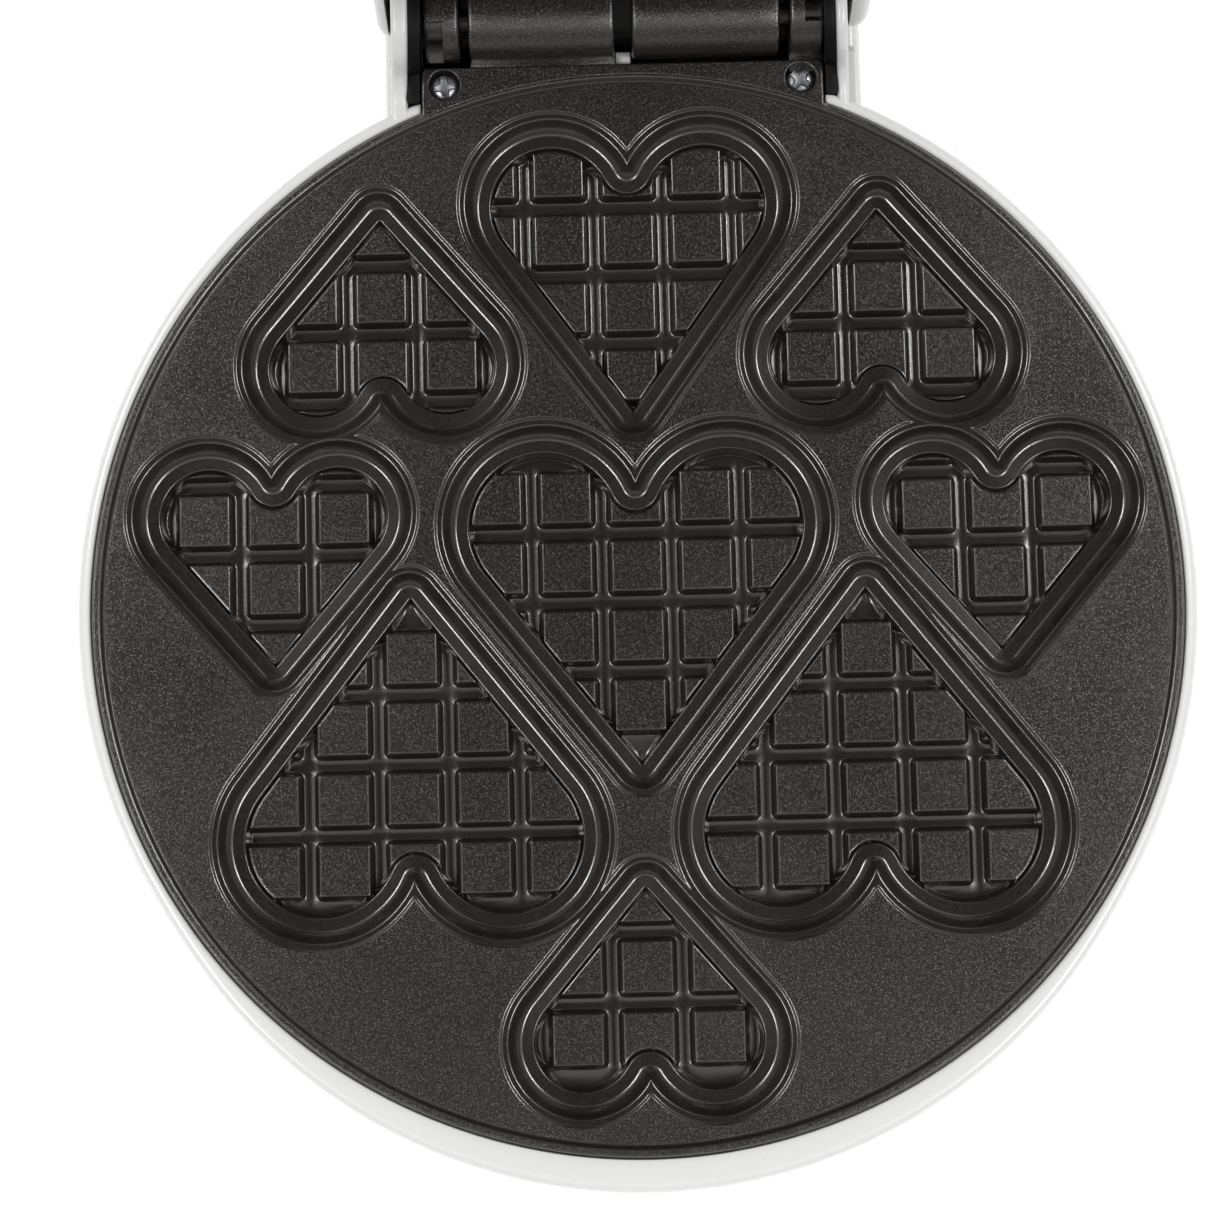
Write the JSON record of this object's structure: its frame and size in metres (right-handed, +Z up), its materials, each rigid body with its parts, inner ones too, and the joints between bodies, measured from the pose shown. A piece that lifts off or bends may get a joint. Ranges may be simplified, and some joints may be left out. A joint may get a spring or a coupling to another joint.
{
  "type": "waffle maker",
  "caption": "Round table-top waffle maker with a hinged lid standing open, heart-shaped pans with square pegs in both cooking plates, and a hook latch on the lid's handle.",
  "frame": {"origin": "centre of the open object's bounding box, at the soles of its feet", "axes": "+Z up, +Y from the front of the base towards the hinge and the open lid, +X along the hinge axis to the right"},
  "size_m": [0.223, 0.3254, 0.302],
  "materials": {
    "white_plastic": "gloss, slightly warm white",
    "black_plastic": "fine satin",
    "nonstick": "cast, speckled dark brown-black non-stick coating",
    "steel": "bright zinc plated",
    "aluminium": "mill finish sheet",
    "element": "heat-darkened sheath",
    "rubber": "matt",
    "ceramic": "off-white insulator",
    "red_lens": "translucent",
    "green_lens": "translucent",
    "clear_glass": "clear",
    "wire_brown": "insulated wire",
    "wire_blue": "insulated wire"
  },
  "bodies": {
    "base": {"base_housing": "white_plastic", "bottom_cover": "white_plastic", "foot_1": "rubber", "foot_2": "rubber", "foot_3": "rubber", "foot_4": "rubber", "cover_screw_1": "steel", "cover_screw_2": "steel", "cover_screw_3": "steel", "cover_screw_4": "steel", "lower_plate": "nonstick", "lower_plate_screw_left": "steel", "lower_plate_screw_right": "steel", "lower_front_screw_left": "steel", "lower_front_screw_right": "steel", "lower_heating_element": "element", "lower_element_clamp": "steel", "lower_clamp_screw": "steel", "lower_reflector": "aluminium", "lower_thermostat": "ceramic", "thermal_fuse": "ceramic", "terminal_block": "ceramic", "lead_live": "wire_brown", "lead_neutral": "wire_blue", "cord_inlet_bush": "black_plastic", "hinge_pin_left": "steel", "hinge_pin_right": "steel", "hinge_liner_left": "black_plastic", "hinge_liner_right": "black_plastic"},
    "lid": {"lid_housing": "white_plastic", "upper_plate": "nonstick", "upper_plate_screw_left": "steel", "upper_plate_screw_right": "steel", "upper_heating_element": "element", "upper_element_clamp": "steel", "upper_clamp_screw": "steel", "upper_reflector": "aluminium", "upper_thermostat": "ceramic", "power_light_lens": "red_lens", "ready_light_lens": "green_lens", "neon_lamp_left": "clear_glass", "neon_lamp_right": "clear_glass", "lamp_holder": "black_plastic", "lamp_lead": "wire_brown", "handle_grip": "black_plastic", "handle_underside": "white_plastic", "handle_screw_left": "steel", "handle_screw_right": "steel", "latch_pin": "steel"},
    "latch": {"latch": "black_plastic"}
  },
  "joints": [
    {"name": "lid_hinge", "type": "hinge", "parent": "base", "child": "lid", "pos_m": [0, 0.07121, 0.0435], "axis": [1, 0, 0], "range_deg": [0, 105]},
    {"name": "latch_pivot", "type": "hinge", "parent": "lid", "child": "latch", "pos_m": [0, 0.14089, 0.2765], "axis": [1, 0, 0], "range_deg": [0, 35]}
  ]
}
